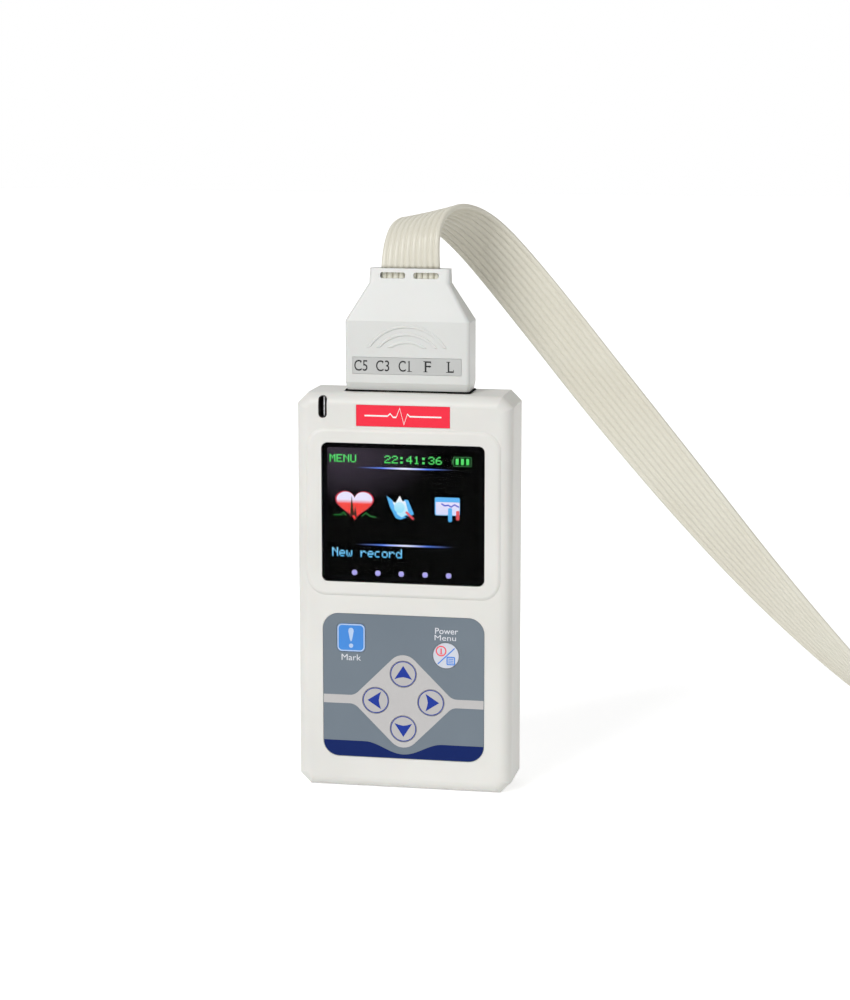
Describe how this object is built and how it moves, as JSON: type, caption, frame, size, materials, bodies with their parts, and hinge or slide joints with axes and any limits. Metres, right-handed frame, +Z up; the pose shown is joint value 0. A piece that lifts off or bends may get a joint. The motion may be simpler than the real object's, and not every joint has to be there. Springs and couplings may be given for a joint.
{
  "type": "holter monitor",
  "caption": "Pocket heart recorder with screen, round keypad keys, hinged battery door and a top plug whose ribbon cable parts into coiled snap leads.",
  "frame": {"origin": "middle of the bottom end on which the recorder stands, measured without the cable", "axes": "+Z up along the recorder to the plug, +X to the right of someone who looks at the screen, +Y to the back"},
  "size_m": [0.3941, 0.0929, 0.167],
  "materials": {
    "case_plastic": "warm off-white moulded plastic with a fine satin grain",
    "window": "clear acrylic over a lit screen",
    "foam": "black closed-cell foam",
    "display": "glass-fronted liquid crystal display",
    "flex_film": "amber polyimide film",
    "keypad_film": "printed polyester film, slate grey with pale and navy areas",
    "key_caps": "pale satin key caps with navy rings",
    "mark_key_cap": "blue key cap with a white rim",
    "board": "green solder mask on glass-fibre board",
    "dark_plastic": "black moulded plastic",
    "bright_metal": "nickel-plated steel",
    "gold_metal": "gold-flashed brass",
    "nameplate": "printed red film",
    "cell_jacket": "printed steel cell jacket",
    "plug_plastic": "white moulded plastic",
    "label_film": "grey printed film",
    "ribbon_skin": "cream flexible ribbon of ten joined cores",
    "lead_skin": "pale flexible sheath",
    "strap_fabric": "black hook-and-loop fabric",
    "snap_plastic": "moulded plastic in the lead's colour"
  },
  "bodies": {
    "recorder": {"front_shell": "case_plastic", "rear_shell": "case_plastic", "display_window": "window", "display_gasket": "foam", "display_module": "display", "display_tape": "foam", "display_flex": "flex_film", "keypad_film": "keypad_film", "main_board": "board", "key_switches": "dark_plastic", "board_chips": "dark_plastic", "clock_cell_holder": "dark_plastic", "clock_cell": "bright_metal", "buzzer": "dark_plastic", "case_screws": "bright_metal", "board_screws": "bright_metal", "nameplate": "nameplate", "lanyard_bar": "bright_metal", "battery_cells": "cell_jacket", "battery_springs": "bright_metal", "battery_contacts": "bright_metal", "socket_shell": "bright_metal", "socket_core": "dark_plastic", "socket_contacts": "gold_metal", "lead_splitter": "plug_plastic", "lead_coil": "lead_skin", "coil_strap": "strap_fabric", "lead_bundle": "lead_skin", "lead_organiser": "plug_plastic", "snap_housings": "snap_plastic", "snap_rings": "bright_metal", "lead_r": "lead_skin", "lead_l": "lead_skin", "lead_f": "lead_skin", "lead_n": "lead_skin", "lead_c1": "lead_skin", "lead_c2": "lead_skin", "lead_c3": "lead_skin", "lead_c4": "lead_skin", "lead_c5": "lead_skin", "lead_c6": "lead_skin"},
    "battery_door": {"battery_door": "case_plastic"},
    "cable_plug": {"plug_front_hood": "plug_plastic", "plug_rear_hood": "plug_plastic", "plug_screws": "bright_metal", "plug_front_label": "label_film", "plug_rear_label": "label_film", "plug_shell": "bright_metal", "plug_core": "dark_plastic", "plug_pins": "gold_metal", "plug_wires": "ribbon_skin", "cable_clamps": "dark_plastic", "ribbon_cable": "ribbon_skin"},
    "mark_key": {"mark_key": "mark_key_cap"},
    "power_menu_key": {"power_menu_key": "key_caps"},
    "up_key": {"up_key": "key_caps"},
    "down_key": {"down_key": "key_caps"},
    "left_key": {"left_key": "key_caps"},
    "right_key": {"right_key": "key_caps"}
  },
  "joints": [
    {"name": "mark_key_press", "type": "slide", "parent": "recorder", "child": "mark_key", "axis": [0, 1, 0], "range_m": [0, 0.0003], "stiffness_N_per_m": 2000},
    {"name": "power_menu_key_press", "type": "slide", "parent": "recorder", "child": "power_menu_key", "axis": [0, 1, 0], "range_m": [0, 0.0003], "stiffness_N_per_m": 2000},
    {"name": "up_key_press", "type": "slide", "parent": "recorder", "child": "up_key", "axis": [0, 1, 0], "range_m": [0, 0.0003], "stiffness_N_per_m": 2000},
    {"name": "down_key_press", "type": "slide", "parent": "recorder", "child": "down_key", "axis": [0, 1, 0], "range_m": [0, 0.0003], "stiffness_N_per_m": 2000},
    {"name": "left_key_press", "type": "slide", "parent": "recorder", "child": "left_key", "axis": [0, 1, 0], "range_m": [0, 0.0003], "stiffness_N_per_m": 2000},
    {"name": "right_key_press", "type": "slide", "parent": "recorder", "child": "right_key", "axis": [0, 1, 0], "range_m": [0, 0.0003], "stiffness_N_per_m": 2000},
    {"name": "battery_door_hinge", "type": "hinge", "parent": "recorder", "child": "battery_door", "pos_m": [0, 0.0102, 0.0116], "axis": [-1, 0, 0], "range_deg": [0, 100]},
    {"name": "plug_slide", "type": "slide", "parent": "recorder", "child": "cable_plug", "axis": [0, 0, 1], "range_m": [0, 0.01]}
  ]
}
